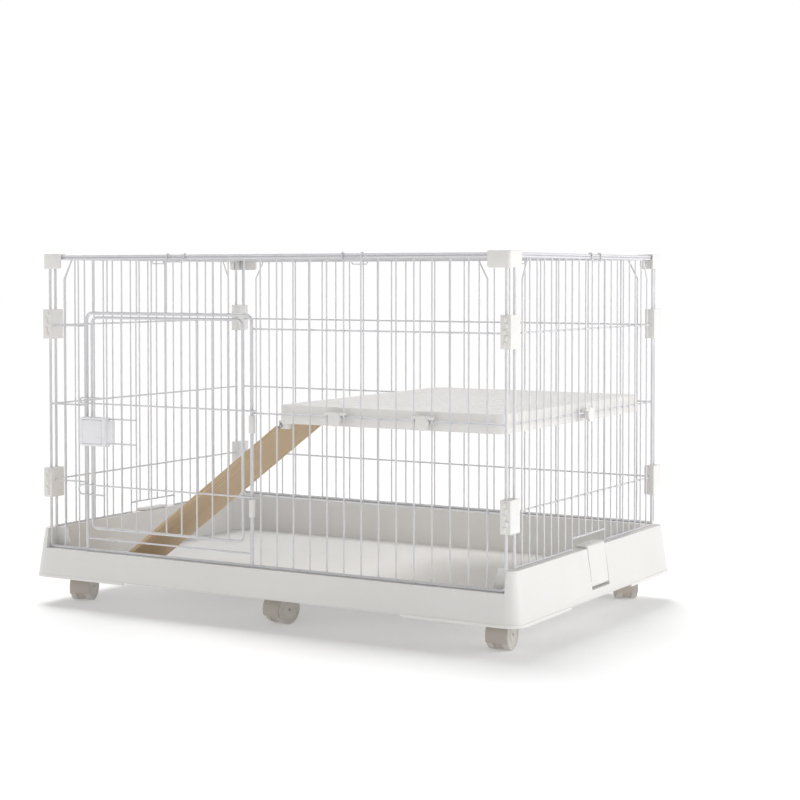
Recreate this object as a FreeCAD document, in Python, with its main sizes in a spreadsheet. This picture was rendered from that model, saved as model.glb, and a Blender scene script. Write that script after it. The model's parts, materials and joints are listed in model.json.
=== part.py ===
import FreeCAD, Part
import math
import os
import re
import Sketcher
from FreeCAD import Placement, Rotation, Vector

# Wire cage for a rabbit on a plastic tray with casters.
# Millimetres. X is the width, Y the depth (the door is at -Y), Z is up, and the
# origin is on the floor below the middle of the tray.

SIZES = {
    "overall_width": 987, "overall_depth": 638, "overall_height": 634,
    # Tray: a double-walled tub, with a skirt that spreads towards the floor.
    "skirt_bottom": 50, "arch_rise": 4, "lip_height": 5, "lip_step": 1,
    "rim_top": 137, "front_rim": 102, "rim_inset": 13, "rim_width": 22,
    "floor_top": 65, "plastic": 3, "tub_draft": 4, "corner_radius": 30,
    "front_gap_half": 464.7, "arch_half_x": 283, "arch_half_y": 125,
    # Side latches of the tray, and the recesses they stand in.
    "flap_x": 484, "flap_pivot": 78, "flap_deep": 69, "flap_pin": 4, "flap_pin_long": 81,
    "recess_deep": 72, "recess_low": 68, "recess_inside": 17.5, "recess_block": 88,
    # Wire panels.
    "front_half": 462, "front_plane": 300, "side_plane": 466.5, "side_half": 281,
    "rail_wire": 4, "frame_wire": 5, "post_wire": 6, "infill_wire": 2.8, "cross_wire": 3.2,
    "roof_level": 629.3, "wall_top": 625.1, "level_high": 505, "level_middle": 363, "level_low": 225,
    "front_cells": 28, "side_cells": 21, "weld": 0.05, "butt": 0.1,
    "bend_rise": 34, "bend_shift": 18, "raised_wire": 157, "frame_bend": 8, "roof_bend": 12,
    # Corner caps, and the buckles between neighbouring wall panels.
    "cap_x": 473, "cap_y": 308, "cap_start_x": 432, "cap_start_y": 268, "cap_inner_x": 456,
    "cap_inner_y": 292, "cap_wall_x": 469.5, "cap_wall_y": 303.5, "cap_ceiling": 631.7,
    "cap_high": 27, "cap_round": 7, "cap_foot_round": 4,
    "buckle_lower": 194, "buckle_upper": 481, "buckle_high": 53, "buckle_near": 274,
    "buckle_deep": 33, "buckle_inner": 455, "buckle_inner_wide": 9, "buckle_outer": 464.2,
    "buckle_outer_wide": 8.8,
    # Wire hooks on the roof frame.
    "hook_wire": 2.4, "hook_gap": 0.3, "hook_half": 18.5, "hook_bend": 4, "hook_foot": 618.5,
    "hook_curl": 165, "hook_left": -176, "hook_right": 182, "hook_side": 23,
    # Door opening in the front panel, and the door in it.
    "opening_left": -377, "opening_right": -18, "opening_sill": 125, "opening_head": 528,
    "opening_bend": 12, "door_left": -364.5, "door_right": -36, "door_bottom": 144,
    "door_top": 520, "door_bend": 12, "door_wire": 5, "hinge_wire": 3,
    "hinge_gap": 0.4, "door_high": 367, "door_low": 221, "hairpin_left": -390,
    "hairpin_right": -333, "hairpin_high": 377, "hairpin_low": 204, "hairpin_bend": 6,
    "sleeve_outer": 10.5, "sleeve_length": 30,
    # Sliding latch on the door.
    "latch_left": -381, "latch_right": -321, "latch_low": 292, "latch_high": 344,
    "latch_front": 318, "latch_back": 305.9, "latch_round": 7, "rail_upper": 340.7,
    "rail_lower": 297.3, "rail_end": -264, "button_width": 42, "button_height": 42,
    "button_left": -372, "button_low": 297, "button_gap": 0.5, "button_deep": 6,
    "button_round": 3, "button_proud": 0.4, "button_travel": 3, "latch_step": 8, "latch_arm": 12,
    "tongue_left": -372, "tongue_right": -344, "tongue_back": 293, "tongue_thick": 3.4,
    "tongue_low": 306, "tongue_high": 330, "web_left": -350, "slide_gap": 0.4,
    # Shelf and ramp.
    "shelf_left": 26.5, "shelf_right": 450, "shelf_front": -288, "shelf_back": 260,
    "shelf_low": 347, "shelf_high": 378, "shelf_round": 15, "clip_radius": 12, "clip_level": 360,
    "ramp_width": 148, "ramp_back": -130, "ramp_length": 451, "ramp_thick": 6, "ramp_slope": 36.9,
    "ramp_pin": 5, "pin_gap": 0.1, "pin_x": 20, "pin_z": 341, "knuckle": 10, "lug_wide": 8,
    "lug_front": -268, "lug_back": -156, "lug_room": 1, "groove_pitch": 38, "groove_wide": 4,
    "groove_deep": 1.5, "groove_margin": 12, "grooves": 11, "clip_thick": 5, "arm_high": 5,
    "neck_wide": 10, "neck_high": 12,
    # Casters.
    "caster_x": 428, "caster_y": 258, "wheel_radius": 25, "wheel_width": 11, "core_width": 14,
    "axle_wire": 5, "stem_wire": 8, "caster_trail": 16, "hood_radius": 28, "hood_gap": 0.8,
    "wheel_gap": 0.6, "core_inset": 4, "hood_foot": 32, "neck_low": 40, "neck_high_z": 54.5,
    "neck_outer": 15, "stem_low": 30, "dish_deep": 1.2, "dish_rim": 4,
}

doc = FreeCAD.newDocument("RabbitCage")
sheet = doc.addObject("Spreadsheet::Sheet", "Sizes")
for row, (alias, number) in enumerate(SIZES.items(), start=1):
    sheet.set(f"A{row}", alias)
    sheet.set(f"B{row}", str(number))
    sheet.setAlias(f"B{row}", alias)
doc.recompute()

X_AXIS, Y_AXIS, Z_AXIS = Vector(1, 0, 0), Vector(0, 1, 0), Vector(0, 0, 1)
AXES = {"X": X_AXIS, "Y": Y_AXIS, "Z": Z_AXIS}
nodes = {}


def size(alias):
    return float(sheet.get(alias))


def cell(text):
    """Turn names of sizes in an expression into references to the sheet."""
    def refer(found):
        return f"Sizes.{found[0]}" if found[0] in SIZES else found[0]
    return re.sub(r"[a-z_]+", refer, str(text))


def number(text):
    """The value that an expression has now."""
    return float(sheet.evalExpression(str(text)))


def bind(target, **properties):
    for name, text in properties.items():
        target.setExpression(name, cell(text))


def place(target, x, y, z, rotation=Rotation()):
    """Bind an object's position to the sheet, with a fixed direction."""
    target.Placement = Placement(Vector(), rotation)
    for letter, text in zip("xyz", (x, y, z)):
        target.setExpression(f"Placement.Base.{letter}", cell(text))


def rod(axis, x, y, z, length, wire):
    """A straight round wire from a point along one axis."""
    piece = doc.addObject("Part::Cylinder", "rod")
    bind(piece, Radius=f"({wire}) / 2", Height=length)
    place(piece, x, y, z, Rotation(Z_AXIS, AXES[axis]))
    return piece


def slanted_rod(start, end, wire):
    """A straight round wire between two points in any direction."""
    along = end - start
    piece = doc.addObject("Part::Cylinder", "rod")
    bind(piece, Radius=f"({wire}) / 2")
    piece.Height = along.Length
    piece.Placement = Placement(start, Rotation(Z_AXIS, along))
    return piece


def bend(x, y, z, start, end, radius, wire, turn=90):
    """A curved stretch of wire: it starts on the start side of its centre and turns towards end."""
    piece = doc.addObject("Part::Torus", "bend")
    bind(piece, Radius1=radius, Radius2=f"({wire}) / 2")
    piece.Angle3 = turn
    place(piece, x, y, z, Rotation(start, end, start.cross(end), "XYZ"))
    return piece


def group(node, pieces):
    """One node made of several separate solids."""
    piece = doc.addObject("Part::Compound", node)
    piece.Links = pieces
    return keep(node, piece)


def keep(node, piece):
    piece.Label = node
    nodes[node] = piece
    return piece


def box(x, y, z, length, width, height, name="block"):
    piece = doc.addObject("Part::Box", name)
    bind(piece, Length=length, Width=width, Height=height)
    place(piece, x, y, z)
    return piece


def cut(base, tool, name="cut"):
    piece = doc.addObject("Part::Cut", name)
    piece.Base = base
    piece.Tool = tool
    return piece


def carve(base, wires):
    """Cut a channel for every wire that reaches a piece."""
    doc.recompute()
    reach = base.Shape.BoundBox
    for wire in wires:
        if wire.Shape.BoundBox.intersect(reach):
            base = cut(base, wire, "channel")
    return base


def join(pieces, name="join"):
    piece = doc.addObject("Part::MultiFuse", name)
    piece.Shapes = pieces
    return piece


def overlap(first, second, name="overlap"):
    piece = doc.addObject("Part::Common", name)
    piece.Base = first
    piece.Tool = second
    return piece


def plane_of(body, role):
    return next(part for part in body.Origin.OriginFeatures if part.Role == role)


def attach(body, name, role, offset):
    sketch = body.newObject("Sketcher::SketchObject", name)
    sketch.AttachmentSupport = [(plane_of(body, role), "")]
    sketch.MapMode = "FlatFace"
    sketch.setExpression("AttachmentOffset.Base.z", cell(offset))
    return sketch


def rounded_rectangle(body, name, offset, half_x, half_y, radius):
    """A centred rectangle with round corners on a level plane, with its sizes bound."""
    sketch = attach(body, name, "XY_Plane", offset)
    wide, deep, round_by = number(half_x), number(half_y), number(radius)
    turns = ((1, 1, 0), (-1, 1, 90), (-1, -1, 180), (1, -1, 270))
    corners = [Vector(sx * (wide - round_by), sy * (deep - round_by), 0) for sx, sy, start in turns]
    for corner, (sx, sy, start) in zip(corners, turns):
        circle = Part.Circle(corner, Z_AXIS, round_by)
        sketch.addGeometry(Part.ArcOfCircle(circle, math.radians(start), math.radians(start + 90)))
    arcs = list(sketch.Geometry)
    for first in range(4):
        second = (first + 1) % 4
        sketch.addGeometry(Part.LineSegment(arcs[first].EndPoint, arcs[second].StartPoint))
    for first in range(4):
        sketch.addConstraint(Sketcher.Constraint("Tangent", first, 2, 4 + first, 1))
        sketch.addConstraint(Sketcher.Constraint("Tangent", 4 + first, 2, (first + 1) % 4, 1))
    for first in range(3):
        sketch.addConstraint(Sketcher.Constraint("Equal", first, first + 1))
    for line, kind in zip(range(4, 7), ("Horizontal", "Vertical", "Horizontal")):
        sketch.addConstraint(Sketcher.Constraint(kind, line))
    named = (("radius", "Radius", (0,), radius),
             ("right", "DistanceX", (-1, 1, 0, 1), half_x), ("top", "DistanceY", (-1, 1, 0, 2), half_y),
             ("left", "DistanceX", (2, 1, -1, 1), half_x), ("bottom", "DistanceY", (2, 2, -1, 1), half_y))
    for label, kind, where, text in named:
        index = sketch.addConstraint(Sketcher.Constraint(kind, *where, number(text)))
        sketch.renameConstraint(index, label)
        sketch.setExpression(f"Constraints.{label}", cell(text))
    return sketch


def outline(body, name, role, offset, points):
    """A closed outline of straight edges, with every corner bound to the sheet."""
    sketch = attach(body, name, role, offset)
    places = [Vector(number(u), number(v), 0) for u, v in points]
    count = len(places)
    for index in range(count):
        sketch.addGeometry(Part.LineSegment(places[index], places[(index + 1) % count]))
    for index in range(count):
        sketch.addConstraint(Sketcher.Constraint("Coincident", index, 2, (index + 1) % count, 1))
    for index, texts in enumerate(points):
        for kind, text, label in zip(("DistanceX", "DistanceY"), texts, ("u", "v")):
            constraint = Sketcher.Constraint(kind, -1, 1, index, 1, number(text))
            sketch.addConstraint(constraint)
            sketch.renameConstraint(sketch.ConstraintCount - 1, f"{label}{index}")
            sketch.setExpression(f"Constraints.{label}{index}", cell(text))
    return sketch


def loft(name, levels):
    """A body between rounded rectangles at several heights."""
    body = doc.addObject("PartDesign::Body", name)
    sketches = [rounded_rectangle(body, f"{name}_level", *level) for level in levels]
    feature = body.newObject("PartDesign::AdditiveLoft", f"{name}_loft")
    feature.Profile = sketches[0]
    feature.Sections = sketches[1:]
    feature.Ruled = True
    return body


def pad(name, sketch_maker, length, midplane=False):
    """A body padded from one sketch."""
    body = doc.addObject("PartDesign::Body", name)
    feature = body.newObject("PartDesign::Pad", f"{name}_pad")
    feature.Profile = sketch_maker(body)
    feature.setExpression("Length", cell(length))
    feature.Midplane = midplane
    return body


def fillet(body, radius, wanted):
    """Round the edges of a body whose middle point passes a test."""
    doc.recompute()
    tip = body.Tip
    names = []
    for index, edge in enumerate(tip.Shape.Edges, start=1):
        middle = edge.valueAt((edge.FirstParameter + edge.LastParameter) / 2)
        if wanted(edge, middle):
            names.append(f"Edge{index}")
    feature = body.newObject("PartDesign::Fillet", f"{body.Name}_fillet")
    feature.Base = (tip, names)
    feature.setExpression("Radius", cell(radius))
    return feature


# ------------------------------------------------------------------ tray

def make_tray():
    half_x, half_y = "overall_width / 2", "overall_depth / 2"
    lip_top = "skirt_bottom + lip_height"
    outer = loft("tray_outer", (
        (lip_top, f"{half_x} - lip_step", f"{half_y} - lip_step", "corner_radius - lip_step"),
        ("rim_top", f"{half_x} - rim_inset", f"{half_y} - rim_inset", "corner_radius - rim_inset")))
    lip = pad("tray_lip", lambda body: rounded_rectangle(
        body, "lip_outline", "skirt_bottom", half_x, half_y, "corner_radius"), "lip_height")
    inner_x, inner_y = f"{half_x} - rim_inset - rim_width", f"{half_y} - rim_inset - rim_width"
    tub = loft("tray_tub", (
        ("floor_top", f"{inner_x} - tub_draft", f"{inner_y} - tub_draft", "corner_radius"),
        ("rim_top + 1", inner_x, inner_y, "corner_radius")))
    wall_x, wall_y = f"{half_x} - plastic", f"{half_y} - plastic"
    space = loft("tray_space", (
        ("skirt_bottom - 1", f"{wall_x} - lip_step", f"{wall_y} - lip_step", "corner_radius - plastic"),
        ("rim_top - plastic", f"{wall_x} - rim_inset", f"{wall_y} - rim_inset",
         "corner_radius - rim_inset - plastic")))
    tub_wall = loft("tray_tub_wall", (
        ("floor_top - plastic", f"{inner_x} - tub_draft + plastic", f"{inner_y} - tub_draft + plastic",
         "corner_radius + plastic"),
        ("rim_top", f"{inner_x} + plastic", f"{inner_y} + plastic", "corner_radius + plastic")))
    front_block = box("-overall_width / 2", "-overall_depth / 2", "front_rim - plastic", "overall_width",
                      "rim_inset + rim_width + plastic", "rim_top - front_rim + plastic")
    latch_blocks = box("-overall_width / 2", "-recess_block / 2", "floor_top - plastic",
                       "overall_width", "recess_block", "rim_top - floor_top")
    bosses = []
    for sx in (-1, 0, 1):
        for sy in (-1, 1):
            bosses.append(rod("Z", f"{sx} * caster_x", f"{sy} * caster_y", "skirt_bottom + 5.5",
                              "floor_top - plastic - skirt_bottom", "3 * stem_wire"))
    hollow = cut(space, join([tub_wall, front_block, latch_blocks] + bosses), "tray_hollow")
    shell = cut(cut(join([outer, lip], "tray_solid"), hollow), tub, "tray_shell")

    front_cut = box("-front_gap_half", "-overall_depth / 2", "front_rim", "2 * front_gap_half",
                    "rim_inset + rim_width + 2", "rim_top")
    arch_x = box("-arch_half_x", "-overall_depth / 2 - 1", "skirt_bottom - 1", "2 * arch_half_x",
                 "overall_depth + 2", "arch_rise + 1")
    arch_y = box("-overall_width / 2 - 1", "-arch_half_y", "skirt_bottom - 1", "overall_width + 2",
                 "2 * arch_half_y", "arch_rise + 1")
    cutters = [front_cut, arch_x, arch_y]
    for sx in (-1, 0, 1):
        for sy in (-1, 1):
            cutters.append(rod("Z", f"{sx} * caster_x", f"{sy} * caster_y", "skirt_bottom",
                               "floor_top - plastic - skirt_bottom + 2", "stem_wire"))
    for side in (-1, 1):
        start = "overall_width / 2 - recess_inside" if side == 1 else "-overall_width / 2 - 1"
        cutters.append(box(start, "-recess_deep / 2", "recess_low", "recess_inside + 1",
                           "recess_deep", "rim_top"))
        cutters.append(rod("Y", f"{side} * flap_x", "-flap_pin_long / 2 - butt", "flap_pivot",
                           "flap_pin_long + 2 * butt", "flap_pin"))
    tray = cut(shell, join(cutters, "tray_cuts"), "base_tray")
    return keep("base_tray", tray)


SIDE_FLAP = (("flap_x - 4", 73), ("flap_x + 3", 72), ("489.4", 75), ("481.7", 133),
             ("480.4", "rim_top + 3"), ("477", "rim_top + 5.5"), ("459", "rim_top + 5.5"),
             ("457.5", "rim_top + 3.4"), ("458", "rim_top + 1"), ("476.8", "rim_top + 1"),
             ("477.4", "rim_top - 2"), ("477.6", 90))


def make_side_latches():
    """The flaps that hold the side panels down, and their pivot pins."""
    for side, name in ((-1, "left"), (1, "right")):
        corners = [(f"{side} * ({x})", z) for x, z in SIDE_FLAP]
        flap = pad(f"side_latch_{name}_blank", lambda body: outline(
            body, f"flap_outline_{name}", "XZ_Plane", 0, corners), "flap_deep", midplane=True)
        start = "-flap_pin_long / 2"
        bore = rod("Y", f"{side} * flap_x", start, "flap_pivot", "flap_pin_long",
                   "flap_pin + 2 * pin_gap")
        keep(f"side_latch_{name}", cut(flap, bore))
        keep(f"side_latch_pin_{name}", rod("Y", f"{side} * flap_x", start, "flap_pivot",
                                           "flap_pin_long", "flap_pin"))


# ------------------------------------------------------------------ panels

def infill(axis, index, plane, first, step, bottom, top, bent_towards=0):
    """One upright wire of a panel; a wire beside a corner leans away from it at the top."""
    across = f"{first} + {index} * {step}"
    x, y = (across, plane) if axis == "X" else (plane, across)
    if not bent_towards:
        return [rod("Z", x, y, bottom, f"{top} - ({bottom})", "infill_wire")]
    knee = f"{top} - bend_rise"
    start = Vector(number(x), number(y), number(knee))
    lean = size("bend_shift") * bent_towards
    end = start + AXES[axis] * lean + Z_AXIS * (size("bend_rise") - size("infill_wire") / 4)
    return [rod("Z", x, y, bottom, f"{knee} - ({bottom})", "infill_wire"),
            slanted_rod(start, end, "infill_wire")]


RAIL_UNDER = "wall_top - rail_wire / 2 + butt"
FRONT_STEP = "2 * front_half / front_cells"
SIDE_STEP = "2 * side_half / side_cells"
CROSS_INSET = "infill_wire / 2 + cross_wire / 2 - weld"


def make_front_panel():
    plane = "-front_plane"
    low = "front_rim + frame_wire / 2"
    frame = [rod("X", "-front_half - frame_wire / 2", plane, "wall_top", "2 * front_half + frame_wire",
                 "rail_wire"),
             rod("X", "-front_half + frame_bend", plane, low, "2 * front_half - 2 * frame_bend", "frame_wire")]
    for side in (-1, 1):
        frame.append(rod("Z", f"{side} * front_half", plane, f"{low} + frame_bend",
                         f"{RAIL_UNDER} - ({low}) - frame_bend", "frame_wire"))
        frame.append(bend(f"{side} * front_half - {side} * frame_bend", plane, f"{low} + frame_bend",
                          Vector(side, 0, 0), Vector(0, 0, -1), "frame_bend", "frame_wire"))
    post_foot = f"{low} + frame_wire / 2 - butt"
    for edge, side in (("opening_left", 1), ("opening_right", -1)):
        frame.append(rod("Z", edge, plane, post_foot,
                         f"opening_head - opening_bend - ({post_foot})", "post_wire"))
        frame.append(bend(f"{edge} + {side} * opening_bend", plane, "opening_head - opening_bend",
                          Vector(-side, 0, 0), Vector(0, 0, 1), "opening_bend", "post_wire"))
    frame.append(rod("X", "opening_left + opening_bend", plane, "opening_head",
                     "opening_right - opening_left - 2 * opening_bend", "post_wire"))
    frame.append(rod("X", "opening_left + post_wire / 2 - butt", plane, "opening_sill",
                     "opening_right - opening_left - post_wire + 2 * butt", "cross_wire"))
    group("front_panel_frame", frame)

    mesh = []
    full_bottom = f"{low} + frame_wire / 2 - butt"
    head_bottom = "opening_head + post_wire / 2 - butt"
    cells = int(size("front_cells"))
    for index in range(1, cells):
        x = -size("front_half") + index * number(FRONT_STEP)
        over_door = size("opening_left") < x < size("opening_right")
        lean = {1: 1, cells - 1: -1}.get(index, 0)
        mesh += infill("X", index, plane, "-front_half", FRONT_STEP,
                       head_bottom if over_door else full_bottom, RAIL_UNDER, lean)
    for level in ("level_high", "level_middle", "level_low"):
        y = f"{plane} + {CROSS_INSET}"
        mesh.append(rod("X", "-front_half + 2", y, level, "opening_left - 2.6 + front_half - 2",
                        "cross_wire"))
        mesh.append(rod("X", "opening_right + 2.6", y, level, "front_half - 2 - opening_right - 2.6",
                        "cross_wire"))
    group("front_panel_mesh", mesh)


def make_back_panel():
    plane = "front_plane"
    low = "rim_top + frame_wire / 2"
    wires = [rod("X", "-front_half - frame_wire / 2", plane, "wall_top", "2 * front_half + frame_wire",
                 "rail_wire"),
             rod("X", "-front_half + frame_bend", plane, low, "2 * front_half - 2 * frame_bend", "frame_wire")]
    for side in (-1, 1):
        wires.append(rod("Z", f"{side} * front_half", plane, f"{low} + frame_bend",
                         f"{RAIL_UNDER} - ({low}) - frame_bend", "frame_wire"))
        wires.append(bend(f"{side} * front_half - {side} * frame_bend", plane, f"{low} + frame_bend",
                          Vector(side, 0, 0), Vector(0, 0, -1), "frame_bend", "frame_wire"))
    cells = int(size("front_cells"))
    for index in range(1, cells):
        lean = {1: 1, cells - 1: -1}.get(index, 0)
        wires += infill("X", index, plane, "-front_half", FRONT_STEP, f"{low} + frame_wire / 2 - butt",
                        RAIL_UNDER, lean)
    for level in ("level_high", "level_middle", "level_low"):
        wires.append(rod("X", "-front_half + 2", f"{plane} - ({CROSS_INSET})", level, "2 * front_half - 4",
                         "cross_wire"))
    group("back_panel", wires)


def make_side_panel(name, side):
    """A side panel: its foot wire rises over the latch in the middle."""
    plane = f"{side} * side_plane"
    low = "rim_top + cross_wire / 2"
    cells = int(size("side_cells"))
    near, far = 8, 13
    wires = [rod("Y", plane, "-side_half - frame_wire / 2", "wall_top",
                 "2 * side_half + frame_wire", "rail_wire")]
    for end in (-1, 1):
        wires.append(rod("Z", plane, f"{end} * side_half", "rim_top", f"{RAIL_UNDER} - rim_top",
                         "frame_wire"))
    foot = f"{near} * {SIDE_STEP} - frame_wire / 2 + butt - infill_wire / 2 + butt"
    wires.append(rod("Y", plane, "-side_half + frame_wire / 2 - butt", low, foot, "cross_wire"))
    wires.append(rod("Y", plane, f"side_half - frame_wire / 2 + butt - ({foot})", low, foot,
                     "cross_wire"))
    raised_start = f"-side_half + {near} * {SIDE_STEP} + infill_wire / 2 - butt"
    raised_length = f"{far - near} * {SIDE_STEP} - infill_wire + 2 * butt"
    wires.append(rod("Y", plane, raised_start, "raised_wire", raised_length, "cross_wire"))
    for index in range(1, cells):
        lean = {1: 1, cells - 1: -1}.get(index, 0)
        if index in (near, far):
            bottom = "rim_top"
        elif near < index < far:
            bottom = "raised_wire + cross_wire / 2 - butt"
        else:
            bottom = f"{low} + cross_wire / 2 - butt"
        wires += infill("Y", index, plane, "-side_half", SIDE_STEP, bottom, RAIL_UNDER, lean)
    for level in ("level_high", "level_middle", "level_low"):
        wires.append(rod("Y", f"{side} * (side_plane - ({CROSS_INSET}))", "-side_half + 2", level,
                         "2 * side_half - 4", "cross_wire"))
    group(f"{name}_panel", wires)


def make_roof():
    wires = []
    for side in (-1, 1):
        wires.append(rod("X", "-side_plane + roof_bend", f"{side} * front_plane", "roof_level",
                         "2 * side_plane - 2 * roof_bend", "rail_wire"))
        wires.append(rod("Y", f"{side} * side_plane", "-front_plane + roof_bend", "roof_level",
                         "2 * front_plane - 2 * roof_bend", "rail_wire"))
        for end in (-1, 1):
            wires.append(bend(f"{side} * (side_plane - roof_bend)", f"{end} * (front_plane - roof_bend)",
                              "roof_level", Vector(side, 0, 0), Vector(0, end, 0), "roof_bend", "rail_wire"))
    cells = int(size("front_cells"))
    for index in range(cells):
        wires.append(rod("Y", f"-front_half + {index} * {FRONT_STEP} + {FRONT_STEP} / 2",
                         "-front_plane + rail_wire / 2 - butt", "roof_level",
                         "2 * front_plane - rail_wire + 2 * butt", "infill_wire"))
    for place_y in (-150, 0, 150):
        wires.append(rod("X", "-side_plane + 2", place_y, f"roof_level - ({CROSS_INSET})",
                         "2 * side_plane - 4", "cross_wire"))
    group("roof_panel", wires)


# ------------------------------------------------------------------ plastic fittings

def panel_wires():
    """Every wire of the roof and the four walls."""
    panels = ("roof_panel", "front_panel_frame", "front_panel_mesh", "back_panel", "left_panel",
              "right_panel")
    return [wire for name in panels for wire in nodes[name].Links]


def make_corner_caps():
    """Moulded shells over the corners of the roof, open towards the wires they cover."""
    corner = (("cap_x", "cap_y"), ("cap_start_x", "cap_y"), ("cap_start_x", "cap_inner_y"),
              ("cap_inner_x", "cap_inner_y"), ("cap_inner_x", "cap_start_y"),
              ("cap_x", "cap_start_y"))
    foot = size("overall_height") - size("cap_high")
    for name, sx, sy in (("front_left", -1, -1), ("front_right", 1, -1), ("back_left", -1, 1),
                         ("back_right", 1, 1)):
        points = [(f"{sx} * {x}", f"{sy} * {y}") for x, y in corner]
        body = pad(f"cap_{name}_blank", lambda body: outline(
            body, f"cap_{name}_outline", "XY_Plane", "overall_height - cap_high", points), "cap_high")
        fillet(body, "cap_round", lambda edge, middle: (
            near(abs(middle.x), "cap_x") and near(abs(middle.y), "cap_y")))
        fillet(body, "cap_foot_round", lambda edge, middle: middle.z < foot + 1 and (
            near(abs(middle.x), "cap_start_x") or near(abs(middle.y), "cap_start_y")))
        x = "cap_start_x - 1" if sx == 1 else "-cap_wall_x"
        y = "cap_start_y - 1" if sy == 1 else "-cap_wall_y"
        pocket = box(x, y, "overall_height - cap_high - 1", "cap_wall_x - cap_start_x + 1",
                     "cap_wall_y - cap_start_y + 1", "cap_ceiling - overall_height + cap_high + 1")
        keep(f"corner_cap_{name}", cut(body, pocket))


def near(value, alias):
    return abs(value - size(alias)) < 0.1


def make_buckles():
    """Two-part clamps that hold each pair of neighbouring panels together at the corners."""
    halves = {"inner": [], "outer": []}
    wires = panel_wires()
    for sx in (-1, 1):
        for sy in (-1, 1):
            for bottom in ("buckle_lower", "buckle_upper"):
                for half, pieces in halves.items():
                    start, wide = f"buckle_{half}", f"buckle_{half}_wide"
                    x = start if sx == 1 else f"-{start} - {wide}"
                    y = "buckle_near" if sy == 1 else "-buckle_near - buckle_deep"
                    block = box(x, y, bottom, wide, "buckle_deep", "buckle_high")
                    pieces.append(carve(block, wires))
    for half, pieces in halves.items():
        group(f"panel_buckles_{half}", pieces)


def swept_wire(name, edges, wire):
    """One round wire swept along edges that run smoothly into each other."""
    path = Part.Wire(edges)
    first = edges[0]
    heading = first.tangentAt(first.FirstParameter)
    profile = Part.Wire(Part.makeCircle(wire / 2, first.valueAt(first.FirstParameter), heading))
    piece = doc.addObject("Part::Feature", name)
    piece.Shape = path.makePipeShell([profile], True, False)
    return piece


def arc(centre, start, end, radius, turn):
    """An arc that starts on one side of its centre and turns towards another."""
    steps = [start * math.cos(angle) + end * math.sin(angle)
             for angle in (0, math.radians(turn) / 2, math.radians(turn))]
    return Part.Arc(*[centre + step * radius for step in steps]).toShape()


def make_hook(name, centre, outward):
    """A sprung wire loop that pivots on the roof frame and hangs over the wall's rail."""
    side = outward.cross(Z_AXIS)
    arm = size("rail_wire") / 2 + size("hook_gap") + size("hook_wire") / 2
    spread, turn, foot = size("hook_half"), size("hook_bend"), size("hook_foot")
    pivot = centre + Z_AXIS * size("roof_level")
    half = []
    for end in (1, -1):
        eye = pivot + side * end * spread
        leg_top = eye + outward * arm
        leg_foot = Vector(leg_top.x, leg_top.y, foot + turn)
        half.append([arc(eye, outward, Z_AXIS, arm, size("hook_curl")),
                     Part.makeLine(leg_top, leg_foot),
                     arc(leg_foot - side * end * turn, side * end, -Z_AXIS, turn, 90)])
    level = [wires[2].valueAt(wires[2].LastParameter) for wires in half]
    edges = half[0] + [Part.makeLine(*level)] + half[1][::-1]
    edges = Part.__sortEdges__(edges)
    keep(f"roof_hook_{name}", swept_wire(f"hook_{name}", edges, size("hook_wire")))


def make_hooks():
    for name, place_x, outward in (("front_left", "hook_left", -1), ("front_right", "hook_right", -1),
                                   ("back_left", "hook_left", 1), ("back_right", "hook_right", 1)):
        make_hook(name, Vector(size(place_x), outward * size("front_plane"), 0), Vector(0, outward, 0))
    for name, outward in (("left", -1), ("right", 1)):
        make_hook(name, Vector(outward * size("side_plane"), size("hook_side"), 0), Vector(outward, 0, 0))


# ------------------------------------------------------------------ door and latch

HINGE_ARM = "post_wire / 2 + hinge_gap + hinge_wire / 2"
HINGE_PLANE = f"-front_plane - ({HINGE_ARM})"
DOOR_INFILL = f"{HINGE_PLANE} + hinge_wire / 2 + infill_wire / 2 - weld"


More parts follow.
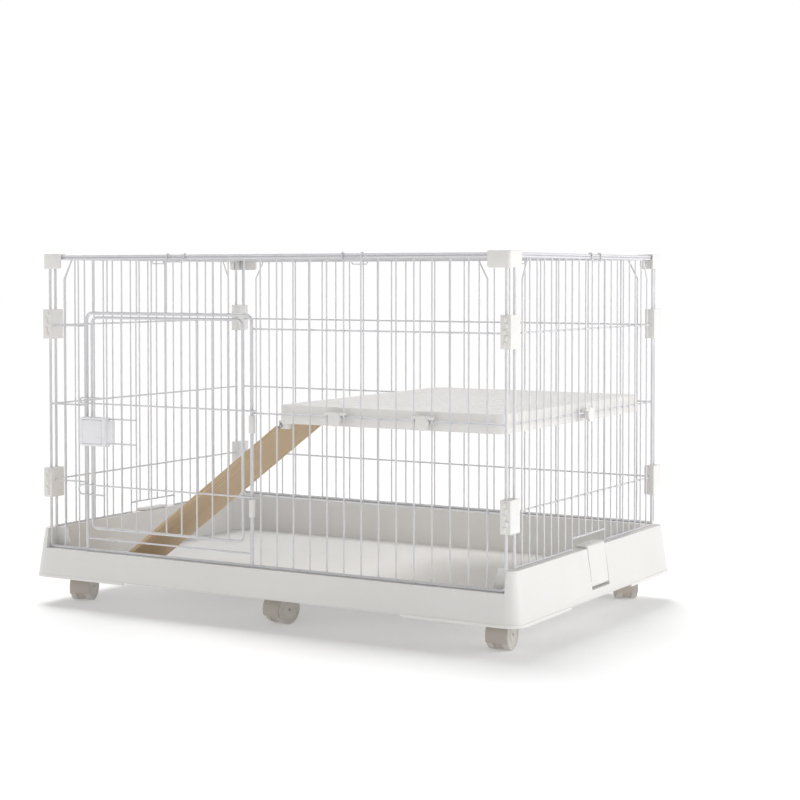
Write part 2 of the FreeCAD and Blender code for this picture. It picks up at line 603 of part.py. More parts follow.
def make_door():
    plane = f"{HINGE_PLANE} + hinge_wire / 2 + door_wire / 2 - weld"
    frame = []
    for edge, side in (("door_left", 1), ("door_right", -1)):
        frame.append(rod("Z", edge, plane, "door_bottom + door_bend",
                         "door_top - door_bottom - 2 * door_bend", "door_wire"))
        for level, rise in (("door_bottom", 1), ("door_top", -1)):
            frame.append(bend(f"{edge} + {side} * door_bend", plane, f"{level} + {rise} * door_bend",
                              Vector(-side, 0, 0), Vector(0, 0, -rise), "door_bend", "door_wire"))
    for level in ("door_bottom", "door_top"):
        frame.append(rod("X", "door_left + door_bend", plane, level,
                         "door_right - door_left - 2 * door_bend", "door_wire"))
    group("door_frame", frame)

    mesh = []
    foot = "door_bottom + door_wire / 2 - butt"
    for index in range(4, 13):
        mesh.append(rod("Z", f"-front_half + {index} * {FRONT_STEP}", DOOR_INFILL, foot,
                        f"door_top - door_wire / 2 + butt - ({foot})", "infill_wire"))
    for level, turn, rise in (("door_high", "hairpin_high", 1), ("door_low", "hairpin_low", -1)):
        mesh.append(rod("X", "hairpin_left + hairpin_bend", HINGE_PLANE, level,
                        "opening_right - hairpin_left - hairpin_bend", "hinge_wire"))
        mesh.append(bend("opening_right", "-front_plane", level, Vector(0, -1, 0), Vector(1, 0, 0),
                         HINGE_ARM, "hinge_wire", 300))
        half = f"({turn} - {level}) * {rise} / 2"
        middle = f"({turn} + {level}) / 2"
        mesh.append(bend("hairpin_left + hairpin_bend", HINGE_PLANE, middle, Vector(0, 0, 1),
                         Vector(-1, 0, 0), half, "hinge_wire", 180))
        mesh.append(rod("X", "hairpin_left + hairpin_bend", HINGE_PLANE, turn,
                        "hairpin_right - hairpin_left - hairpin_bend", "hinge_wire"))
    for level in ("rail_upper", "rail_lower"):
        mesh.append(rod("X", "latch_left + 30", HINGE_PLANE, level,
                        "rail_end - latch_left - 30 + 2", "hinge_wire"))
    group("door_mesh", mesh)

    sleeves = []
    for level in ("level_middle", "door_low"):
        foot = f"{level} - 4 - sleeve_length"
        blank = rod("Z", "opening_right", "-front_plane", foot, "sleeve_length", "sleeve_outer")
        bore = rod("Z", "opening_right", "-front_plane", f"{foot} - 1", "sleeve_length + 2",
                   "post_wire")
        sleeves.append(cut(blank, bore))
    group("hinge_sleeves", sleeves)


def make_latch():
    """The sliding catch: a block on two rails of the door, with a tongue behind the post."""
    arm = "latch_right + latch_arm"
    corners = (("latch_left", "-latch_front"), ("latch_right", "-latch_front"),
               ("latch_right", "-latch_front + 5"), (arm, "-latch_front + 6"),
               (arm, "-latch_back"), ("latch_left", "-latch_back"))
    body = pad("latch_blank", lambda owner: outline(
        owner, "latch_outline", "XY_Plane", "latch_low", corners), "latch_high - latch_low")
    fillet(body, "latch_round", lambda edge, middle: (
        near(middle.x, "latch_left") and abs(edge.tangentAt(edge.FirstParameter).y) > 0.9))
    fillet(body, 2, lambda edge, middle: near(-middle.y, "latch_front"))
    pocket = box("button_left - button_gap", "-latch_front - 1", "button_low - button_gap",
                 "button_width + 2 * button_gap", "button_deep + 1",
                 "button_height + 2 * button_gap")
    steps = []
    for foot in ("latch_low - 1", "latch_high - latch_step + 2"):
        steps.append(box("latch_right + 0.5", "-latch_front - 1", foot, 20,
                         "latch_front - latch_back + 2", "latch_step"))
    channels = []
    for level in ("rail_upper", "rail_lower"):
        channels.append(rod("X", "latch_left - 20", HINGE_PLANE, level, 120,
                            "hinge_wire + 2 * slide_gap"))
    block = cut(body, join([pocket] + steps + channels))
    tall = "tongue_high - tongue_low"
    web = box("web_left", "-latch_back - 1", "tongue_low", "tongue_right - web_left",
              "latch_back + 1 - tongue_back", tall)
    tongue = box("tongue_left", "-tongue_back - tongue_thick", "tongue_low",
                 "tongue_right - tongue_left", "tongue_thick", tall)
    keep("latch_body", join([block, web, tongue]))

    button = box("button_left", "-latch_front - button_proud", "button_low", "button_width",
                 "button_deep - button_travel", "button_height")
    rounded = doc.addObject("Part::Fillet", "button_round")
    rounded.Base = button
    doc.recompute()
    radius = size("button_round")
    rounded.Edges = [(index, radius, radius)
                     for index, edge in enumerate(button.Shape.Edges, start=1)
                     if abs(edge.tangentAt(edge.FirstParameter).y) > 0.9]
    keep("latch_button", rounded)


# ------------------------------------------------------------------ shelf and ramp

def make_shelf():
    wide, deep = "shelf_right - shelf_left", "shelf_back - shelf_front"
    middle_x, middle_y = "(shelf_right + shelf_left) / 2", "(shelf_back + shelf_front) / 2"
    outer = pad("shelf_outer", lambda body: rounded_rectangle(
        body, "shelf_outline", 0, f"({wide}) / 2", f"({deep}) / 2", "shelf_round"),
        "shelf_high - shelf_low")
    place(outer, middle_x, middle_y, "shelf_low")
    inner = pad("shelf_inner", lambda body: rounded_rectangle(
        body, "shelf_inside", -1, f"({wide}) / 2 - plastic", f"({deep}) / 2 - plastic",
        "shelf_round - plastic"), "shelf_high - shelf_low - plastic + 1")
    place(inner, middle_x, middle_y, "shelf_low")
    lugs = []
    for start in ("lug_front", "lug_back"):
        lugs.append(box("pin_x - 5", start, "pin_z - 5", 20, "lug_wide", "shelf_low - pin_z + 8"))
    bore = rod("Y", "pin_x", "lug_front - 8", "pin_z", "lug_back - lug_front + 28", "ramp_pin")
    keep("shelf", cut(join([cut(outer, inner)] + lugs), bore))

    clips = []
    for cells in (18.5, 23.5):
        centre = f"-front_half + {cells} * {FRONT_STEP}"
        clips.append(shelf_clip("X", centre, "-front_plane", "shelf_front"))
        clips.append(shelf_clip("X", centre, "front_plane", "shelf_back"))
    clips.append(shelf_clip("Y", 0, "side_plane", "shelf_right"))
    group("shelf_clips", clips)


def shelf_clip(axis, centre, plane, edge):
    """A round tab outside two upright wires, with arms round them and a neck to the shelf's edge."""
    inward = 1 if number(edge) > number(plane) else -1
    step = FRONT_STEP if axis == "X" else SIDE_STEP
    facing = Vector(0, inward, 0) if axis == "X" else Vector(inward, 0, 0)

    def block(across, width, near, depth, bottom, height):
        """A box from the panel inwards, placed along the panel's own axis."""
        low = f"{plane} + {near}" if inward == 1 else f"{plane} - ({near}) - ({depth})"
        start = f"{centre} + {across}"
        if axis == "X":
            return box(start, low, bottom, width, depth, height)
        return box(low, start, bottom, depth, width, height)

    tab = doc.addObject("Part::Cylinder", "clip_tab")
    bind(tab, Radius="clip_radius", Height="clip_thick")
    front = f"{plane} - {inward} * clip_thick"
    x, y = (centre, front) if axis == "X" else (front, centre)
    place(tab, x, y, "clip_level", Rotation(Z_AXIS, facing))
    arms = block(f"-({step}) / 2 - 3", f"{step} + 6", -3.5, 7, "clip_level + 6", "arm_high")
    reach = f"({edge} - ({plane})) * {inward}"
    neck = block("-neck_wide / 2", "neck_wide", -2, f"{reach} + 2", "clip_level - neck_high / 2",
                 "neck_high")
    channels = []
    for end in (-0.5, 0.5):
        across = f"{centre} + {end} * {step}"
        at = (across, plane) if axis == "X" else (plane, across)
        channels.append(rod("Z", *at, "clip_level - 60", 120, "infill_wire"))
    rail = f"{plane} + {inward} * ({CROSS_INSET})"
    start = f"{centre} - 40"
    at = (start, rail) if axis == "X" else (rail, start)
    channels.append(rod(axis, *at, "level_middle", 80, "cross_wire"))
    return cut(join([tab, arms, neck]), join(channels))


def make_ramp():
    """A board that hangs from a pin under the shelf's edge and rests on the tray's floor."""
    slope = math.radians(size("ramp_slope"))
    along = Vector(-math.cos(slope), 0, -math.sin(slope))
    up = Vector(-math.sin(slope), 0, math.cos(slope))
    turn = Rotation(along, Vector(0, -1, 0), up, "XYZ")
    pin = Vector(size("pin_x"), 0, size("pin_z"))
    start = pin + along * 4 - up * (size("ramp_thick") / 2) + Vector(0, size("ramp_back"), 0)
    board = doc.addObject("Part::Box", "board")
    bind(board, Length="ramp_length", Width="ramp_width", Height="ramp_thick")
    board.Placement = Placement(start, turn)
    grooves = []
    depth = size("ramp_thick") - size("groove_deep")
    for index in range(1, int(size("grooves")) + 1):
        groove = doc.addObject("Part::Box", "groove")
        bind(groove, Length="groove_wide", Width="ramp_width - 2 * groove_margin",
             Height="groove_deep + 0.5")
        groove.Placement = Placement(start + along * (index * size("groove_pitch")) + up * depth
                                     - Y_AXIS * size("groove_margin"), turn)
        grooves.append(groove)
    between = "lug_back - lug_front - lug_wide"
    knuckle = rod("Y", "pin_x", "lug_front + lug_wide + 6", "pin_z", f"{between} - 12", "knuckle")
    bore = rod("Y", "pin_x", "lug_front - 22", "pin_z", "lug_back - lug_front + 58",
               "ramp_pin + 2 * pin_gap")
    rooms = []
    for start_y in ("lug_front", "lug_back"):
        rooms.append(rod("Y", "pin_x", f"{start_y} - lug_room", "pin_z", "lug_wide + 2 * lug_room",
                         26))
    keep("ramp_board", cut(join([board, knuckle]), join(grooves + [bore] + rooms)))
    keep("ramp_pin", rod("Y", "pin_x", "lug_front - 4", "pin_z",
                         "lug_back - lug_front + lug_wide + 8", "ramp_pin"))


# ------------------------------------------------------------------ casters

CASTERS = (("front_left", -1, -1, 20), ("front_middle", 0, -1, -12), ("front_right", 1, -1, 6),
           ("back_left", -1, 1, 200), ("back_middle", 0, 1, 170), ("back_right", 1, 1, 35))


def at_caster(piece, sx, sy, turn):
    place(piece, f"{sx} * caster_x", f"{sy} * caster_y", 0, Rotation(Z_AXIS, turn))
    return piece


def along_axle(start, length, across):
    """A round piece on the axle's line, in a caster's own frame."""
    return rod("X", start, "caster_trail", "wheel_radius", length, across)


def make_casters():
    """Twin-wheel casters: a stem in the tray, a hood that swivels on it, an axle and wheels."""
    near = "core_width / 2 + wheel_gap"
    span = f"{near} + wheel_width"
    room_across = "2 * wheel_radius + 2 * hood_gap"
    stems = []
    for name, sx, sy, turn in CASTERS:
        stems.append(rod("Z", f"{sx} * caster_x", f"{sy} * caster_y", "stem_low",
                         "floor_top - plastic + 2 - stem_low", "stem_wire"))
        arch = along_axle(f"-({span})", f"2 * ({span})", "2 * hood_radius")
        room = along_axle(f"-({span}) - 1", f"2 * ({span}) + 2", room_across)
        behind = box(-40, "caster_trail", -20, 80, 60, "hood_foot + 20")
        below = box(-40, -60, -20, 80, 160, "hood_foot + 2")
        shell = cut(arch, join([room, behind, below]))
        core = along_axle("-core_width / 2", "core_width", "2 * hood_radius - 2 * core_inset")
        nose = box("-core_width / 2", -11, 16, "core_width", 30, "hood_radius + 9.4")
        limit = along_axle("-core_width / 2", "core_width", "2 * hood_radius")
        neck = rod("Z", 0, 0, "neck_low", "neck_high_z - neck_low", "neck_outer")
        stem_bore = rod("Z", 0, 0, "stem_low - 2", 40, "stem_wire + 2 * pin_gap")
        axle_bore = along_axle(-30, 60, "axle_wire")
        room_right = along_axle("core_width / 2", "wheel_width + 20", room_across)
        room_left = along_axle("-core_width / 2 - wheel_width - 20", "wheel_width + 20", room_across)
        whole = join([shell, core, overlap(nose, limit), neck])
        hood = cut(whole, join([stem_bore, axle_bore, room_left, room_right]))
        keep(f"caster_hood_{name}", at_caster(hood, sx, sy, turn))
        axle = along_axle(f"-({span}) + 2", f"2 * ({span}) - 4", "axle_wire")
        at_caster(group(f"caster_axle_{name}", [axle]), sx, sy, turn)
        for label in ("left", "right"):
            outside = label == "right"
            tread = along_axle(near if outside else f"-({span})", "wheel_width", "2 * wheel_radius")
            bore = along_axle(f"-({span}) - 1", f"2 * ({span}) + 2", "axle_wire + 2 * pin_gap")
            dish_start = f"{span} - dish_deep" if outside else f"-({span}) - 1"
            dish = along_axle(dish_start, "dish_deep + 1", "2 * wheel_radius - 2 * dish_rim")
            cap = along_axle(dish_start, "dish_deep + 1", "wheel_radius")
            wheel = cut(tread, join([bore, cut(dish, cap)]))
            keep(f"wheel_{name}_{label}", at_caster(wheel, sx, sy, turn))
    group("caster_stems", stems)


# ------------------------------------------------------------------ document

def check_document():
    """Stop if any object failed to build."""
    for item in doc.Objects:
        if "Invalid" in item.State or "Error" in item.State:
            raise RuntimeError(f"{item.Name} ({item.Label}): {item.State}")
    for name, piece in nodes.items():
        if piece.Shape.isNull() or not piece.Shape.isValid() or not piece.Shape.Solids:
            raise RuntimeError(f"{name} has no valid solid")


def main():
    make_tray()
    make_side_latches()
    make_front_panel()
    make_back_panel()
    make_side_panel("left", -1)
    make_side_panel("right", 1)
    make_roof()
    make_corner_caps()
    make_buckles()
    make_hooks()
    make_door()
    make_latch()
    make_shelf()
    make_ramp()
    make_casters()
    doc.recompute()
    check_document()
    os.makedirs("parts", exist_ok=True)
    for name, piece in nodes.items():
        piece.Shape.exportStep(f"parts/{name}.step")
        print(name, len(piece.Shape.Solids), "solids", round(piece.Shape.Volume), "mm3")


main()
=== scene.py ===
import json
import math

import bmesh
import bpy
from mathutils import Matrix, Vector


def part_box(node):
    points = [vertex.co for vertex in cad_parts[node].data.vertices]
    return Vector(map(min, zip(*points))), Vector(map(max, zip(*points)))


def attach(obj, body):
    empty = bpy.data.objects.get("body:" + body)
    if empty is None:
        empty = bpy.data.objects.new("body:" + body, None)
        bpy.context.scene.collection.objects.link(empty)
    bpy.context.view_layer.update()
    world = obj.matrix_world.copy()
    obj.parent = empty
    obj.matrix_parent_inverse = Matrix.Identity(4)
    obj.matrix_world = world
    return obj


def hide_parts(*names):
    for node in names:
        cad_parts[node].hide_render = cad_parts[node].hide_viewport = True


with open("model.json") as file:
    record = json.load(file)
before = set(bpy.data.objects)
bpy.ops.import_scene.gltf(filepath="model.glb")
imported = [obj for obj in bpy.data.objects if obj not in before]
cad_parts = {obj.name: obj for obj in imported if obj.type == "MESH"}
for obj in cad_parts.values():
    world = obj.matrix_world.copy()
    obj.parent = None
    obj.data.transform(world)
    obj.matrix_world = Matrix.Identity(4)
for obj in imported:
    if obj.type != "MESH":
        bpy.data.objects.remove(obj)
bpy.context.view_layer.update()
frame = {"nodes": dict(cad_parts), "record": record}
NODES = frame["nodes"]
BODIES = frame["record"]["behaviour"]["bodies"]
MM = 0.001


def add_object(name, data):
    made = bpy.data.objects.new(name, data)
    bpy.context.scene.collection.objects.link(made)
    return made


# ------------------------------------------------------------------ camera

CAMERA_PLACE = Vector((1.689, -2.724, 0.593))
CAMERA_AZIMUTH = math.radians(30.32)
CAMERA_DROP = math.radians(1.74)
SENSOR_WIDTH = 36
LENS_LENGTH = 79.0
LENS_SHIFT_UP = -0.0875
FURTHEST_SEEN = 50


def make_camera():
    data = bpy.data.cameras.new("camera")
    data.sensor_width = SENSOR_WIDTH
    data.lens = LENS_LENGTH
    data.shift_y = LENS_SHIFT_UP
    data.clip_end = FURTHEST_SEEN
    camera = add_object("camera", data)
    camera.location = CAMERA_PLACE
    camera.rotation_euler = (math.pi / 2 - CAMERA_DROP, 0, CAMERA_AZIMUTH)
    bpy.context.scene.camera = camera


# ------------------------------------------------------------------ materials

# The sockets of a Mix node that mixes colours.
MIX_FACTOR = 0
MIX_FIRST = 6
MIX_SECOND = 7
MIX_RESULT = 2


class Shader:
    """A Principled material with helpers for the nodes that feed it."""

    def __init__(self, name, color, roughness, **sockets):
        self.material = bpy.data.materials.new(name)
        self.material.use_nodes = True
        self.tree = self.material.node_tree
        self.principled = self.tree.nodes["Principled BSDF"]
        self.set(Base_Color=(*color, 1), Roughness=roughness, **sockets)
        self.place = self.node("ShaderNodeTexCoord").outputs["Object"]

    def set(self, **sockets):
        for name, value in sockets.items():
            self.principled.inputs[name.replace("_", " ")].default_value = value

    def node(self, kind, **settings):
        made = self.tree.nodes.new(kind)
        for name, value in settings.items():
            setattr(made, name, value)
        return made

    def link(self, source, target):
        self.tree.links.new(source, target)

    def mapped(self, source=None, **sockets):
        """The object's coordinates, or another source, put through a Mapping node."""
        mapping = self.node("ShaderNodeMapping")
        for name, value in sockets.items():
            mapping.inputs[name].default_value = value
        self.link(source or self.place, mapping.inputs["Vector"])
        return mapping.outputs["Vector"]

    def noise(self, scale, detail=3, roughness=0.5, vector=None):
        made = self.node("ShaderNodeTexNoise")
        made.inputs["Scale"].default_value = scale
        made.inputs["Detail"].default_value = detail
        made.inputs["Roughness"].default_value = roughness
        self.link(vector or self.place, made.inputs["Vector"])
        return made.outputs["Fac"]

    def spread(self, value, low, high, from_low=0.3, from_high=0.7):
        """The value's range from from_low to from_high, spread out to low and high."""
        made = self.node("ShaderNodeMapRange")
        made.inputs["From Min"].default_value = from_low
        made.inputs["From Max"].default_value = from_high
        made.inputs["To Min"].default_value = low
        made.inputs["To Max"].default_value = high
        self.link(value, made.inputs["Value"])
        return made.outputs["Result"]

    def mix(self, factor, first, second):
        """A blend of two colours, each a tuple or another node's output."""
        made = self.node("ShaderNodeMix", data_type="RGBA")
        for socket, value in ((made.inputs[MIX_FIRST], first), (made.inputs[MIX_SECOND], second)):
            if isinstance(value, tuple):
                socket.default_value = (*value, 1)
            else:
                self.link(value, socket)
        self.link(factor, made.inputs[MIX_FACTOR])
        return made.outputs[MIX_RESULT]

    def color(self, source):
        self.link(source, self.principled.inputs["Base Color"])

    def roughness(self, source):
        self.link(source, self.principled.inputs["Roughness"])

    def bump(self, height, distance, strength=1.0):
        """Relief on top of whatever relief the material already has."""
        made = self.node("ShaderNodeBump")
        made.inputs["Distance"].default_value = distance
        made.inputs["Strength"].default_value = strength
        self.link(height, made.inputs["Height"])
        normal = self.principled.inputs["Normal"]
        if normal.links:
            self.link(normal.links[0].from_socket, made.inputs["Normal"])
        self.link(made.outputs["Normal"], normal)


def shade(color, factor):
    return tuple(channel * factor for channel in color)


def moulded_plastic(name, color, roughness, grain=900, grain_height=0.03 * MM):
    """Moulded plastic: a faint cloud in the colour, fine surface grain and light rub marks."""
    shader = Shader(name, color, roughness, Specular_IOR_Level=0.45)
    cloud = shader.noise(scale=6, detail=4)
    shader.color(shader.mix(shader.spread(cloud, 0, 1), shade(color, 0.965), color))
    rubs = shader.noise(scale=40, detail=6, roughness=0.7, vector=shader.mapped(Scale=(1, 1, 3)))
    shader.roughness(shader.spread(rubs, roughness - 0.07, roughness + 0.09))
    shader.bump(shader.noise(scale=grain, detail=2), distance=grain_height)
    shader.bump(shader.noise(scale=14, detail=2), distance=0.2 * MM, strength=0.5)
    return shader.material


def coated_wire(name, color):
    """White powder coat on steel wire: slightly pebbled, with thin spots a little darker."""
    shader = Shader(name, color, 0.36, Specular_IOR_Level=0.5, Coat_Weight=0.25, Coat_Roughness=0.2)
    thin = shader.noise(scale=55, detail=5, roughness=0.65)
    shader.color(shader.mix(shader.spread(thin, 0, 1, 0.35, 0.75), color, shade(color, 0.9)))
    shader.roughness(shader.spread(shader.noise(scale=160), 0.28, 0.46))
    shader.bump(shader.noise(scale=700, detail=2), distance=0.06 * MM)
    return shader.material


def bare_steel(name, color):
    """Plain steel, with fine level lines that change its gloss."""
    shader = Shader(name, color, 0.3, Metallic=1.0)
    lines = shader.noise(scale=90, detail=4, roughness=0.6, vector=shader.mapped(Scale=(1, 1, 12)))
    shader.roughness(shader.spread(lines, 0.22, 0.42))
    shader.bump(lines, distance=0.03 * MM)
    return shader.material


WOOD_SLOPE = math.radians(36.9)
WOOD_MEAN = (0.56, 0.38, 0.22)
WOOD_PALE = (0.70, 0.55, 0.38)
WOOD_BAND = (0.52, 0.38, 0.24)
WOOD_STREAK = (0.60, 0.46, 0.30)
WOOD_FIBRE = (0.38, 0.26, 0.15)


def sawn_wood(name, slope):
    """Pale sawn board: growth bands, soft streaks and fine dark fibres along its slope."""
    shader = Shader(name, WOOD_MEAN, 0.62, Specular_IOR_Level=0.3)
    along_board = shader.mapped(Rotation=(0, slope, 0))
    long_grain = shader.mapped(along_board, Scale=(1.2, 22, 22))
    streaks = shader.noise(scale=1.3, vector=long_grain)
    bands = shader.node("ShaderNodeTexWave", wave_type="BANDS", bands_direction="Y")
    bands.inputs["Scale"].default_value = 1.1
    bands.inputs["Distortion"].default_value = 5.5
    bands.inputs["Detail"].default_value = 3
    bands.inputs["Detail Scale"].default_value = 0.7
    shader.link(long_grain, bands.inputs["Vector"])
    fine_grain = shader.mapped(along_board, Scale=(6, 260, 260))
    fibres = shader.noise(scale=1.0, detail=4, roughness=0.6, vector=fine_grain)
    banded = shader.mix(shader.spread(bands.outputs["Fac"], 0, 0.75, 0.1, 0.9), WOOD_PALE, WOOD_BAND)
    streaked = shader.mix(shader.spread(streaks, 0, 0.6), banded, WOOD_STREAK)
    shader.color(shader.mix(shader.spread(fibres, 0, 0.5, 0.45, 0.75), streaked, WOOD_FIBRE))
    shader.roughness(shader.spread(fibres, 0.52, 0.75))
    shader.bump(fibres, distance=0.3 * MM, strength=0.6)
    return shader.material


MATERIALS = {
    "wire": coated_wire("wire_coat", (0.69, 0.69, 0.71)),
    "tray": moulded_plastic("tray_plastic", (0.80, 0.785, 0.765), 0.42, 500, 0.04 * MM),
    "shelf": moulded_plastic("shelf_plastic", (0.82, 0.80, 0.775), 0.4),
    "fitting": moulded_plastic("fitting_plastic", (0.79, 0.775, 0.755), 0.38),
    "latch": moulded_plastic("latch_plastic", (0.84, 0.84, 0.86), 0.3),
    "hood": moulded_plastic("caster_hood_plastic", (0.50, 0.46, 0.41), 0.45),
    "wheel": moulded_plastic("caster_wheel_plastic", (0.60, 0.57, 0.53), 0.5),
    "steel": bare_steel("bare_steel", (0.55, 0.55, 0.57)),
    "wood": sawn_wood("ramp_wood", WOOD_SLOPE),
}


def dress(piece, material):
    piece.data.materials.clear()
    piece.data.materials.append(MATERIALS[material])


# ------------------------------------------------------------------ pieces from CAD nodes

# CAD nodes that stay. A name that ends in _ is the start of several nodes' names.
KEPT = {
    "front_panel_frame": "wire",
    "front_panel_mesh": "wire",
    "back_panel": "wire",
    "left_panel": "wire",
    "right_panel": "wire",
    "roof_panel": "wire",
    "roof_hook_": "wire",
    "door_frame": "wire",
    "door_mesh": "wire",
    "ramp_pin": "steel",
    "side_latch_pin_": "steel",
    "caster_stems": "steel",
    "caster_axle_": "steel",
}

# CAD nodes shown with rounded edges instead: their material and the rounding's width.
SOFTENED = {
    "base_tray": ("tray", 2.2 * MM),
    "shelf": ("shelf", 1.0 * MM),
    "shelf_clips": ("fitting", 0.8 * MM),
    "panel_buckles_inner": ("fitting", 1.6 * MM),
    "panel_buckles_outer": ("fitting", 1.6 * MM),
    "hinge_sleeves": ("fitting", 0.6 * MM),
    "latch_body": ("latch", 0.6 * MM),
    "latch_button": ("latch", 0.5 * MM),
    "side_latch_left": ("fitting", 1.0 * MM),
    "side_latch_right": ("fitting", 1.0 * MM),
    "ramp_board": ("wood", 0.8 * MM),
}

# The same for sets of nodes, by the start of their names.
SOFTENED_SETS = {
    "corner_cap_": ("fitting", 1.5 * MM),
    "caster_hood_": ("hood", 0.9 * MM),
    "wheel_": ("wheel", 0.9 * MM),
}

WELD_DISTANCE = 0.002 * MM
FLAT_WITHIN = math.radians(1)
ROUNDED_ABOVE = math.radians(30)
ROUNDING_STEPS = 3
SHARP_IN_SOFTENED = math.radians(40)
SHARP_IN_SHELF = math.radians(35)
SHARP_IN_KNUCKLE = math.radians(32)


def body_of(node):
    return next(body for body, members in BODIES.items() if node in members)


def add_piece(name, mesh, body, material, replaced=()):
    piece = add_object(name, mesh)
    dress(piece, material)
    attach(piece, body)
    if replaced:
        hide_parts(*replaced)
    return piece


def apply_modifiers(piece):
    graph = bpy.context.evaluated_depsgraph_get()
    mesh = bpy.data.meshes.new_from_object(piece.evaluated_get(graph))
    old = piece.data
    piece.modifiers.clear()
    piece.data = mesh
    bpy.data.meshes.remove(old)


def smooth(piece, sharp_angle):
    """Smooth shading, apart from edges that turn by more than the angle."""
    for polygon in piece.data.polygons:
        polygon.use_smooth = True
    piece.data.set_sharp_from_angle(angle=sharp_angle)


def welded_copy(node):
    """A copy of a CAD node's mesh with its doubled points merged and flat faces joined up."""
    mesh = NODES[node].data.copy()
    work = bmesh.new()
    work.from_mesh(mesh)
    bmesh.ops.remove_doubles(work, verts=work.verts, dist=WELD_DISTANCE)
    bmesh.ops.dissolve_limit(work, angle_limit=FLAT_WITHIN, verts=work.verts, edges=work.edges)
    for layer in list(work.loops.layers.uv):
        work.loops.layers.uv.remove(layer)
    work.to_mesh(mesh)
    work.free()
    return mesh


def softened(node, material, width):
    """The CAD node's shape with its edges rounded, shown in the node's place."""
    piece = add_piece(f"{node}_soft", welded_copy(node), body_of(node), material, (node,))
    bevel = piece.modifiers.new("round", "BEVEL")
    bevel.width = width
    bevel.segments = ROUNDING_STEPS
    bevel.limit_method = "ANGLE"
    bevel.angle_limit = ROUNDED_ABOVE
    bevel.miter_outer = "MITER_ARC"
    apply_modifiers(piece)
    smooth(piece, SHARP_IN_SOFTENED)
    return piece


# ------------------------------------------------------------------ drain slots of the shelf

SLOT_LENGTH = 19 * MM
SLOT_WIDTH = 4.2 * MM
SLOT_MARGIN = 26 * MM
SLOT_INSET = 8 * MM
SLOT_PITCH_X = 34 * MM
SLOT_PITCH_Y = 30 * MM
SLOT_STAGGER = 3
CUT_BELOW = 8 * MM
CUT_ABOVE = 2 * MM
HALF_TURN = range(-90, 91, 30)


def stadium(work, x, y, low, high, length, width):
    """A prism with round ends, added to a mesh: the cutter of one drain slot."""
    reach = (length - width) / 2
    turns = [math.radians(angle) for angle in HALF_TURN]
    outline = [(x + reach + math.cos(a) * width / 2, y + math.sin(a) * width / 2) for a in turns]
    outline += [(x - reach - math.cos(a) * width / 2, y - math.sin(a) * width / 2) for a in turns]
    bottom = [work.verts.new((u, v, low)) for u, v in outline]
    top = [work.verts.new((u, v, high)) for u, v in outline]
    work.faces.new(bottom[::-1])
    work.faces.new(top)
    for index in range(len(outline)):
        after = (index + 1) % len(outline)
        work.faces.new((bottom[index], bottom[after], top[after], top[index]))


def slot_cutter():
    """Columns of short slots as one object, each column a third of a pitch on from the last."""
    low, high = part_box("shelf")
    columns = int((high[0] - low[0] - 2 * SLOT_MARGIN) / SLOT_PITCH_X) + 1
    rows = int((high[1] - low[1] - 2 * SLOT_MARGIN) / SLOT_PITCH_Y) + 1
    work = bmesh.new()
    for column in range(columns):
        x = low[0] + SLOT_MARGIN + SLOT_INSET + column * SLOT_PITCH_X
        stagger = (column % SLOT_STAGGER) * SLOT_PITCH_Y / SLOT_STAGGER
        for row in range(rows):
            y = low[1] + SLOT_MARGIN + row * SLOT_PITCH_Y + stagger
            if y < high[1] - SLOT_MARGIN:
                stadium(work, x, y, high[2] - CUT_BELOW, high[2] + CUT_ABOVE, SLOT_LENGTH, SLOT_WIDTH)
    mesh = bpy.data.meshes.new("slots")
    work.to_mesh(mesh)
    work.free()
    return add_object("slots", mesh)


def perforate(shelf):
    """Cut the drain slots through the shelf's top."""
    cutter = slot_cutter()
    mesh = cutter.data
    cutting = shelf.modifiers.new("slots", "BOOLEAN")
    cutting.operation = "DIFFERENCE"
    cutting.solver = "EXACT"
    cutting.object = cutter
    apply_modifiers(shelf)
    bpy.data.objects.remove(cutter)
    bpy.data.meshes.remove(mesh)
    smooth(shelf, SHARP_IN_SHELF)


# ------------------------------------------------------------------ knuckles of the buckles

BUCKLE_SEAM = 464.1 * MM
BUCKLE_HEIGHT = 53 * MM
KNUCKLE_RADIUS = 3.0 * MM
KNUCKLE_HEIGHT = 7.4 * MM
KNUCKLE_PITCH = 9.6 * MM
KNUCKLE_SHIFT = 1.6 * MM
KNUCKLE_SIDES = 14

# Its outline from the bottom up: part of the radius, part of the height.
KNUCKLE_OUTLINE = ((0.7, -0.5), (0.93, -0.44), (1.0, -0.34), (1.0, 0.34), (0.93, 0.44), (0.7, 0.5))


def knuckle(work, x, y, z):
    """A short upright barrel with rounded ends, added to a mesh."""
    turns = [math.tau * side / KNUCKLE_SIDES for side in range(KNUCKLE_SIDES)]
    rings = []
    for across, up in KNUCKLE_OUTLINE:
        radius = across * KNUCKLE_RADIUS
        level = z + up * KNUCKLE_HEIGHT
        ring = [(x + math.cos(a) * radius, y + math.sin(a) * radius, level) for a in turns]
        rings.append([work.verts.new(point) for point in ring])
    for below, above in zip(rings, rings[1:]):
        for side in range(KNUCKLE_SIDES):
            after = (side + 1) % KNUCKLE_SIDES
            work.faces.new((below[side], below[after], above[after], above[side]))
    work.faces.new(rings[0][::-1])
    work.faces.new(rings[-1])


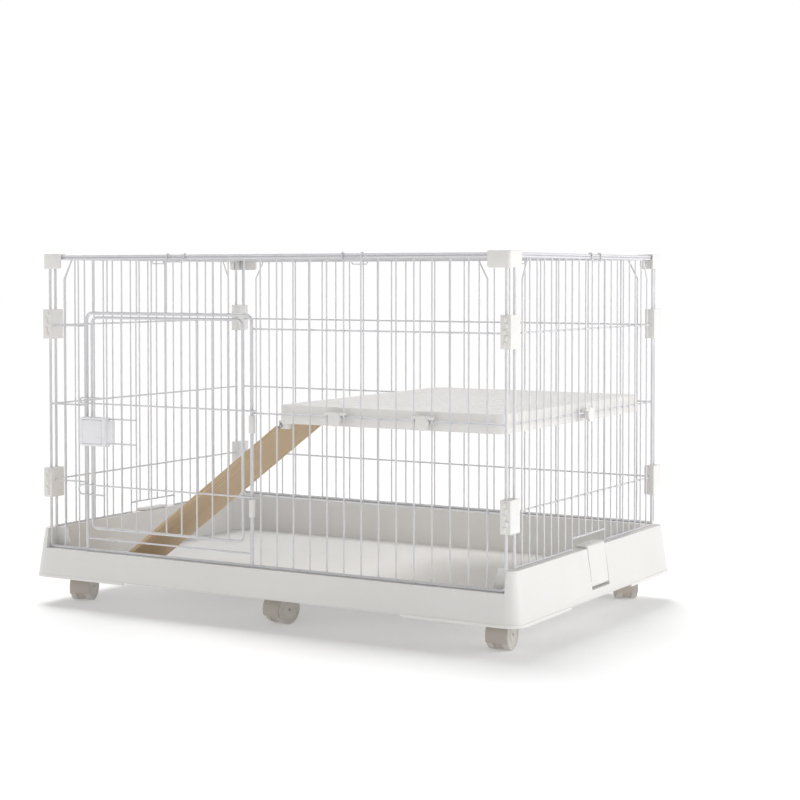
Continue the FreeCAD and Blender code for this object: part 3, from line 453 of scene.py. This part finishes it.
def make_knuckles():
    """Five knuckles down the seam of each buckle, turn and turn about on its two sides."""
    low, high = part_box("panel_buckles_outer")
    work = bmesh.new()
    for middle in (low[2] + BUCKLE_HEIGHT / 2, high[2] - BUCKLE_HEIGHT / 2):
        for side in (-1, 1):
            for face in (low[1], high[1]):
                for step in range(-2, 3):
                    shift = KNUCKLE_SHIFT if step % 2 else -KNUCKLE_SHIFT
                    knuckle(work, side * (BUCKLE_SEAM + shift), face, middle + step * KNUCKLE_PITCH)
    mesh = bpy.data.meshes.new("buckle_knuckles")
    work.to_mesh(mesh)
    work.free()
    smooth(add_piece("buckle_knuckles", mesh, "cage", "fitting"), SHARP_IN_KNUCKLE)


def dress_cad():
    for node in NODES:
        for start, material in KEPT.items():
            if node.startswith(start):
                dress(NODES[node], material)
    for node, (material, width) in SOFTENED.items():
        piece = softened(node, material, width)
        if node == "shelf":
            perforate(piece)
    for node in NODES:
        for start, (material, width) in SOFTENED_SETS.items():
            if node.startswith(start):
                softened(node, material, width)


# ------------------------------------------------------------------ studio

WHITE = (1, 1, 1)
WARM_WHITE = (1, 0.95, 0.9)
FLOOR_GREY = (0.9, 0.9, 0.9)
FLOOR_REACH = 60
FLOOR_LEVEL = -0.5 * MM

# The surroundings' strength, by how far a direction's unit vector rises.
BRIGHT_BELOW = 0.16
DIM_ABOVE = 0.45
BRIGHT = 1.02
DIM = 0.34


def make_floor():
    mesh = bpy.data.meshes.new("floor")
    corners = [(-FLOOR_REACH, -FLOOR_REACH, 0), (FLOOR_REACH, -FLOOR_REACH, 0),
               (FLOOR_REACH, FLOOR_REACH, 0), (-FLOOR_REACH, FLOOR_REACH, 0)]
    mesh.from_pydata(corners, [], [(0, 1, 2, 3)])
    floor = add_object("floor", mesh)
    paper = Shader("floor_paper", FLOOR_GREY, 0.9, Specular_IOR_Level=0.1)
    paper.set(Emission_Color=(*WHITE, 1), Emission_Strength=0.2)
    paper.bump(paper.noise(scale=60, detail=2), distance=0.1 * MM, strength=0.2)
    mesh.materials.append(paper.material)
    floor.location.z = FLOOR_LEVEL


def make_world():
    """Surroundings that are bright near the horizon and below it, and dimmer overhead."""
    world = bpy.data.worlds.new("world")
    bpy.context.scene.world = world
    world.use_nodes = True
    tree = world.node_tree
    background = tree.nodes["Background"]
    background.inputs["Color"].default_value = (*WHITE, 1)
    direction = tree.nodes.new("ShaderNodeTexCoord")
    split = tree.nodes.new("ShaderNodeSeparateXYZ")
    strength = tree.nodes.new("ShaderNodeMapRange")
    strength.inputs["From Min"].default_value = BRIGHT_BELOW
    strength.inputs["From Max"].default_value = DIM_ABOVE
    strength.inputs["To Min"].default_value = BRIGHT
    strength.inputs["To Max"].default_value = DIM
    tree.links.new(direction.outputs["Generated"], split.inputs["Vector"])
    tree.links.new(split.outputs["Z"], strength.inputs["Value"])
    tree.links.new(strength.outputs["Result"], background.inputs["Strength"])


def area_light(name, place, target, size, power, color=WHITE):
    data = bpy.data.lights.new(name, "AREA")
    data.shape = "SQUARE"
    data.size = size
    data.energy = power
    data.color = color
    light = add_object(name, data)
    light.location = place
    light.rotation_euler = (Vector(target) - Vector(place)).to_track_quat("-Z", "Y").to_euler()


def sun_light(name, direction, power, spread):
    """Light from a direction, softened as if its source were that many degrees across."""
    data = bpy.data.lights.new(name, "SUN")
    data.energy = power
    data.angle = math.radians(spread)
    light = add_object(name, data)
    light.rotation_euler = Vector(direction).to_track_quat("Z", "Y").to_euler()


def make_studio():
    make_floor()
    make_world()
    sun_light("overhead", direction=(-0.42, 0.3, 1), power=1.75, spread=34)
    area_light("right", place=(3.2, 0.4, 1.2), target=(0, 0, 0.3), size=1.8, power=38)
    area_light("front_left", place=(-2.6, -2.6, 1.3), target=(-0.3, -0.3, 0.2), size=1.6, power=8,
               color=WARM_WHITE)
    bpy.context.scene.view_settings.view_transform = "Standard"
    bpy.context.scene.view_settings.look = "None"


make_camera()
make_studio()
dress_cad()
make_knuckles()
